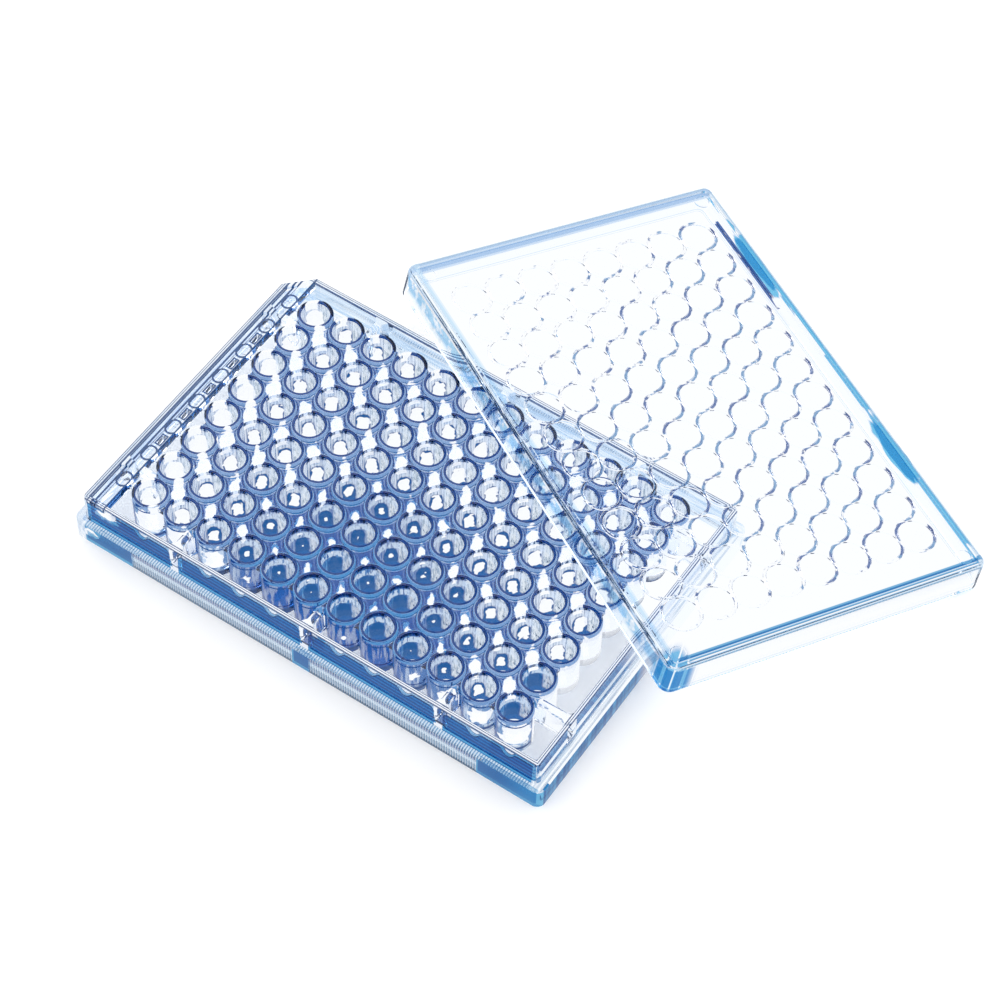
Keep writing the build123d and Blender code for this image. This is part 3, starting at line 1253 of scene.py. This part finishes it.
    for middle, level, half in ((-55.2, 10.9, 3.3), (-59.3, 3.9, 2.9)):
        reach = reach_of(build, build.minus(x, middle), build.minus(z, level), half, 1.3)
        patch = build.all_of(ragged(build, place, reach, 1.0, 0.6), build.band(y, -50.0, -39.0))
        colour = build.mix(patch, colour, WHITE)
    # Pale painted refraction on the end walls and the back wall, with fine painted lines.
    faint = build.ramp(build.grain(place, (1.6, 0.05, 0.5), 2.0), 0.4, 0.6)
    left = build.all_of(build.band(x, -70.0, -moat_x + 0.1), build.band(z, BELOW, 13.0, 0.3))
    colour = build.mix(left, colour, build.mix(faint, (0.50, 0.62, 0.78), (0.86, 0.92, 0.98)))
    right = build.all_of(build.band(x, moat_x - 0.1, 63.4), build.band(z, 5.8, 13.0, 0.3))
    colour = build.mix(right, colour, build.mix(faint, (0.38, 0.50, 0.64), (0.90, 0.95, 1.0)))
    back = build.all_of(build.band(y, moat_y - 0.1, 50.0), build.band(z, BELOW, 13.0, 0.3))
    grain = build.ramp(build.grain(place, (0.05, 1.9, 1.2), 2.0), 0.42, 0.58)
    colour = build.mix(back, colour, build.mix(grain, (0.60, 0.74, 0.88), (0.95, 0.98, 1.0)))
    # Painted dark outlines of refraction shade on the shelf.
    outlines = shelf_lines(build, place, x, y, z, grid, wells, bridge, moat_x)
    colour = build.mix(outlines, colour, (0.001, 0.008, 0.05))
    # Painted dark lines of refraction shade along the wall's top edges.
    edge = build.all_of(
        wall_lines(build, x, y, wall_x, wall_y, ((0.05, 0.32), (0.62, 0.84), (1.12, 1.4))),
        build.band(z, 12.9, ABOVE))
    colour = build.mix(edge, colour, (0.012, 0.024, 0.08))
    build.feed(shader.inputs["Base Color"], colour)
    return material


def lid_plastic(colours, lid, wells, half_x, half_y, height, matrix):
    """Clear plastic painted with refracted light and shade: blue at the edges of the walls, with a
    faint blue line along each ring.
    """
    material, shader, build = clear_plastic("clear_lid", SHEER)
    mapping = build.add("ShaderNodeMapping", vector_type="TEXTURE")
    build.feed(mapping.inputs["Vector"], build.add("ShaderNodeTexCoord").outputs["Object"])
    mapping.inputs["Location"].default_value = matrix.to_translation()
    mapping.inputs["Rotation"].default_value = matrix.to_euler()
    place = in_millimetres(build, mapping.outputs[0])
    x, y, z = build.split(place)
    ends, sides = half_x / MM, half_y / MM
    grid = add_grid(build, place, wells)
    block = build.all_of(build.band(x, -54.9, 54.9), build.band(y, -36.9, 36.9))
    under = (height - lid.thickness) / MM - 0.02
    ring = build.all_of(
        block, build.band(grid["Distance"], 4.0, 5.0, 0.02), build.band(z, 2.0, under, 0.02))
    # Painted dark refraction lines on two opposite quarters of each ring, broken by noise and faded
    # towards two ends; darker along the last row.
    side = build.sine(build.times(grid["Turn"], 2.0))
    uneven = build.grain(place, (0.25, 0.25, 0.25), 2.0)
    broken = build.grain(place, (0.45, 0.45, 0.45), 2.0)
    inner = build.ramp(build.plus(x, build.times(y, 0.6)), -70.0, -5.0)
    near = build.ramp(build.minus(x, build.times(y, 0.5)), 66.0, 32.0)
    kept = build.times(build.math("MINIMUM", inner, near), 0.45)
    fade = build.plus(build.times(broken, 1.6), kept)
    wave = build.all_of(ring, build.ramp(side, -0.15, 0.1), build.ramp(fade, 0.98, 1.08))
    line = build.mix(build.ramp(uneven, 0.45, 0.55), (0.05, 0.14, 0.34), tuple(colours.lid_line))
    colour = build.mix(wave, (0.98, 0.99, 1.0), line)
    last_row = build.all_of(
        ring, build.band(y, 35.0, 36.9), build.ramp(build.size(grid["Along"]), 1.8, 1.2))
    colour = build.mix(last_row, colour, (0.003, 0.008, 0.06))

    on_top = build.band(z, under - 0.2, ABOVE)
    dashes = build.grain(place, (0.12, 0.3, 0.3), 2.0)
    # Painted blue light in broken dashes along the far edge of the top, and in two wedges inside
    # it.
    far = build.all_of(
        build.band(y, sides - 1.9, sides - 1.2, 0.1), on_top, build.ramp(dashes, 0.42, 0.48))
    wedge = build.math("MINIMUM", *(
        reach_of(build, build.minus(x, middle), build.minus(y, sides - 2.6), 13.0, 1.9)
        for middle in (-36.0, 27.0)))
    wedge = build.all_of(on_top, build.ramp(
        build.plus(wedge, build.times(dashes, 0.9)), 1.3, 1.2))
    colour = build.mix(build.any_of(far, wedge), colour, tuple(colours.lid_edge))
    # A dark painted line of refraction shade inside the far edge.
    deep_line = build.all_of(
        build.band(y, sides - 4.9, sides - 4.1, 0.1), on_top, build.band(x, -52.0, -22.0),
        build.ramp(dashes, 0.40, 0.46))
    colour = build.mix(deep_line, colour, (0.004, 0.02, 0.14))
    # Painted deep blue light along the near end, and paler painted light along the far end and the
    # leaning side.
    near_end = build.all_of(build.band(x, ends - 3.1, ends - 1.9, 0.15), on_top)
    colour = build.mix(near_end, colour, (0.028, 0.19, 0.47))
    far_end = build.all_of(build.band(x, -ends + 1.2, -ends + 3.2, 0.2), on_top)
    colour = build.mix(far_end, colour, (0.42, 0.58, 0.80))
    leaning = build.all_of(build.band(y, -sides + 1.9, -sides + 3.3, 0.15), on_top)
    colour = build.mix(leaning, colour, (0.62, 0.80, 0.94))
    # Thin painted lines of refraction shade along the top's edges, lighter towards the leaning
    # side.
    thin = build.all_of(
        wall_lines(build, x, y, ends, sides, ((0.22, 0.4), (1.15, 1.3))), on_top)
    colour = build.mix(thin, colour, build.mix(
        build.ramp(y, -sides + 4.0, -sides + 2.0), (0.20, 0.30, 0.42), (0.62, 0.72, 0.82)))
    # The leaning wall painted almost clear, with patches of painted blue light near its top.
    veil = build.all_of(build.band(y, -50.0, -sides + 1.3), build.band(z, 0.2, height / MM - 1.0))
    veil_blue = build.all_of(
        build.ramp(z, height / MM - 5.5, height / MM - 3.5), build.ramp(broken, 0.35, 0.5))
    colour = build.mix(veil, colour, build.mix(veil_blue, (0.92, 0.97, 1.0), (0.20, 0.48, 0.78)))
    # Diagonal blue stripes painted on the wall in the corner where the near end meets the leaning
    # side.
    corner = build.all_of(
        build.ramp(x, ends - 8.0, ends - 5.0), build.ramp(y, -sides + 8.0, -sides + 5.0),
        build.band(z, 0.25, height / MM - 0.6, 0.2))
    corner_stripes = build.ramp(build.sine(build.times(build.plus(x, y), 2.1)), 0.8, 0.95)
    colour = build.mix(corner, colour, build.mix(corner_stripes, (0.03, 0.24, 0.58), (0.85, 0.95, 1.0)))
    # Pale blue painted shade along the foot of the wall, and painted blue light in dashes at the
    # near end's foot.
    foot = build.band(z, BELOW, 0.12)
    colour = build.mix(foot, colour, (0.45, 0.62, 0.80))
    foot = build.all_of(
        build.band(x, ends - 0.6, 80.0), build.band(z, BELOW, 0.3),
        build.ramp(build.sine(build.times(y, 7.0)), 0.0, 0.3))
    colour = build.mix(foot, colour, (0.10, 0.45, 0.70))
    build.feed(shader.inputs["Base Color"], colour)
    return material


def plain(name, colour, roughness):
    """An even, opaque material and its shader."""
    material = bpy.data.materials.new(name)
    material.use_nodes = True
    shader = material.node_tree.nodes["Principled BSDF"]
    shader.inputs["Base Color"].default_value = (*colour, 1.0)
    shader.inputs["Roughness"].default_value = roughness
    return material, shader


# The stage


def add_area(name, place, size, power, target=(0.0, 0.0, 0.0)):
    """A square soft lamp that faces a point."""
    bpy.ops.object.light_add(type="AREA", location=place)
    lamp = bpy.context.object
    lamp.name = name
    lamp.data.size = size
    lamp.data.energy = power
    lamp.rotation_euler = (Vector(target) - Vector(place)).to_track_quat("-Z", "Y").to_euler()
    return lamp


def camera_axes(stage):
    """Right, up and back of the camera, from its direction and its roll."""
    azimuth, elevation, roll = stage.azimuth, stage.elevation, stage.roll
    ahead = Vector((
        -math.sin(azimuth) * math.cos(elevation), math.cos(azimuth) * math.cos(elevation),
        -math.sin(elevation),
    ))
    right = ahead.cross(Vector((0.0, 0.0, 1.0))).normalized()
    up = right.cross(ahead)
    turned_right = math.cos(roll) * right + math.sin(roll) * up
    turned_up = -math.sin(roll) * right + math.cos(roll) * up
    return turned_right, turned_up, -ahead


def add_camera(stage):
    right, up, back = camera_axes(stage)
    place = Vector(stage.target) + back * stage.distance
    bpy.ops.object.camera_add(location=place)
    camera = bpy.context.object
    camera.name = "camera"
    camera.rotation_euler = Matrix((right, up, back)).transposed().to_euler()
    camera.data.lens = stage.lens
    camera.data.sensor_width = 36.0
    camera.data.clip_start = 0.05
    camera.data.clip_end = 20.0
    bpy.context.scene.camera = camera


def white_for_rays(tree, surface, output):
    """Shows plain white to the rays that glass reflects and lets through."""
    nodes, links = tree.nodes, tree.links
    path = nodes.new("ShaderNodeLightPath")
    either = nodes.new("ShaderNodeMath")
    either.operation = "MAXIMUM"
    links.new(path.outputs["Is Glossy Ray"], either.inputs[0])
    links.new(path.outputs["Is Transmission Ray"], either.inputs[1])
    white = nodes.new("ShaderNodeEmission")
    white.inputs["Color"].default_value = (1.0, 1.0, 1.0, 1.0)
    mix = nodes.new("ShaderNodeMixShader")
    links.new(either.outputs[0], mix.inputs["Fac"])
    links.new(surface, mix.inputs[1])
    links.new(white.outputs["Emission"], mix.inputs[2])
    links.new(mix.outputs["Shader"], output)


def floor_material():
    material, shader = plain("floor_white", (0.95, 0.95, 0.95), 0.9)
    tree = material.node_tree
    output = tree.nodes["Material Output"].inputs["Surface"]
    white_for_rays(tree, shader.outputs["BSDF"], output)
    return material


def white_world():
    world = bpy.data.worlds.new("studio")
    bpy.context.scene.world = world
    world.use_nodes = True
    background = world.node_tree.nodes["Background"]
    background.inputs["Color"].default_value = (1.0, 1.0, 1.0, 1.0)
    background.inputs["Strength"].default_value = 1.0


# Operators


class WELLPLATE_OT_plate(bpy.types.Operator):
    """Models the clear moulding: foot, wall, wells, ribs, shelf and letters"""

    bl_idname = "wellplate.plate"
    bl_label = "Plate"

    def execute(self, context):
        plate = build_plate(context.scene)
        scene = context.scene
        give(plate, plate_plastic(
            scene.plate_colours, scene.plate_wells, scene.plate_skirt, scene.plate_bridges))
        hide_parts("plate")
        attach(plate, "root")
        return {"FINISHED"}


class WELLPLATE_OT_lid(bpy.types.Operator):
    """Models the clear lid, leaning across one end of the plate"""

    bl_idname = "wellplate.lid"
    bl_label = "Lid"

    def execute(self, context):
        scene = context.scene
        lid = build_lid(scene)
        sizes = lid_half(scene.plate_lid, scene.plate_skirt)
        place = lean_matrix(scene.plate_lid, sizes[1])
        plastic = lid_plastic(
            scene.plate_colours, scene.plate_lid, scene.plate_wells, *sizes, place)
        give(lid, plastic)
        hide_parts("lid")
        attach(lid, "root")
        return {"FINISHED"}


class WELLPLATE_OT_stage(bpy.types.Operator):
    """Adds the floor, the soft light and the camera"""

    bl_idname = "wellplate.stage"
    bl_label = "Stage"

    def execute(self, context):
        stage = context.scene.plate_stage
        bpy.ops.mesh.primitive_plane_add(size=stage.floor_size)
        floor = named("floor")
        floor.data.materials.append(floor_material())
        white_world()
        context.scene.view_settings.view_transform = "Standard"
        add_area("key", (-0.5, 0.3, 0.9), 0.8, 4.6)
        add_camera(stage)
        return {"FINISHED"}


class WELLPLATE_PT_panel(bpy.types.Panel):
    """Lists the pieces and the stage"""

    bl_label = "Well plate"
    bl_idname = "WELLPLATE_PT_panel"
    bl_space_type = "VIEW_3D"
    bl_region_type = "UI"
    bl_category = "Well plate"

    def draw(self, context):
        for operator in OPERATORS:
            self.layout.operator(operator.bl_idname)


OPERATORS = (WELLPLATE_OT_plate, WELLPLATE_OT_lid, WELLPLATE_OT_stage)
SIZES = {
    "plate_wells": WellSizes,
    "plate_skirt": SkirtSizes,
    "plate_bridges": BridgeSizes,
    "plate_lid": LidSizes,
    "plate_colours": Colours,
    "plate_stage": StageSizes,
}


def register():
    for item in (*SIZES.values(), *OPERATORS, WELLPLATE_PT_panel):
        bpy.utils.register_class(item)
    for name, group in SIZES.items():
        setattr(bpy.types.Scene, name, PointerProperty(type=group))


def unregister():
    for name in SIZES:
        delattr(bpy.types.Scene, name)
    for item in reversed((*SIZES.values(), *OPERATORS, WELLPLATE_PT_panel)):
        bpy.utils.unregister_class(item)


def main():
    register()
    bpy.ops.wellplate.plate()
    bpy.ops.wellplate.lid()
    bpy.ops.wellplate.stage()


if __name__ == "__main__":
    main()
